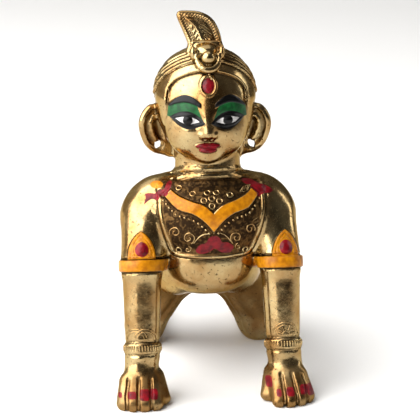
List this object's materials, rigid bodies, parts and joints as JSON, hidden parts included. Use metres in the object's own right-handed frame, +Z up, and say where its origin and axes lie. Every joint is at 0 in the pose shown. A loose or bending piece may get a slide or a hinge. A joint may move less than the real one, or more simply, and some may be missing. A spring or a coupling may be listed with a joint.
{
  "type": "crawling child deity figurine",
  "caption": "Small polished brass figure of a crawling child deity with a curled feather crest, bodice, armlets and bracelets picked out in coloured enamel",
  "frame": {"origin": "centre of the bounding box's underside, on the surface the figure stands on", "axes": "+Z up to the crest, the face looks along -Y, +X is the viewer's right"},
  "size_m": [0.0519, 0.092, 0.1],
  "materials": {
    "brass": "polished, with hand-painted enamel details"
  },
  "bodies": {
    "root": {"radha_figure": "brass"}
  },
  "joints": []
}
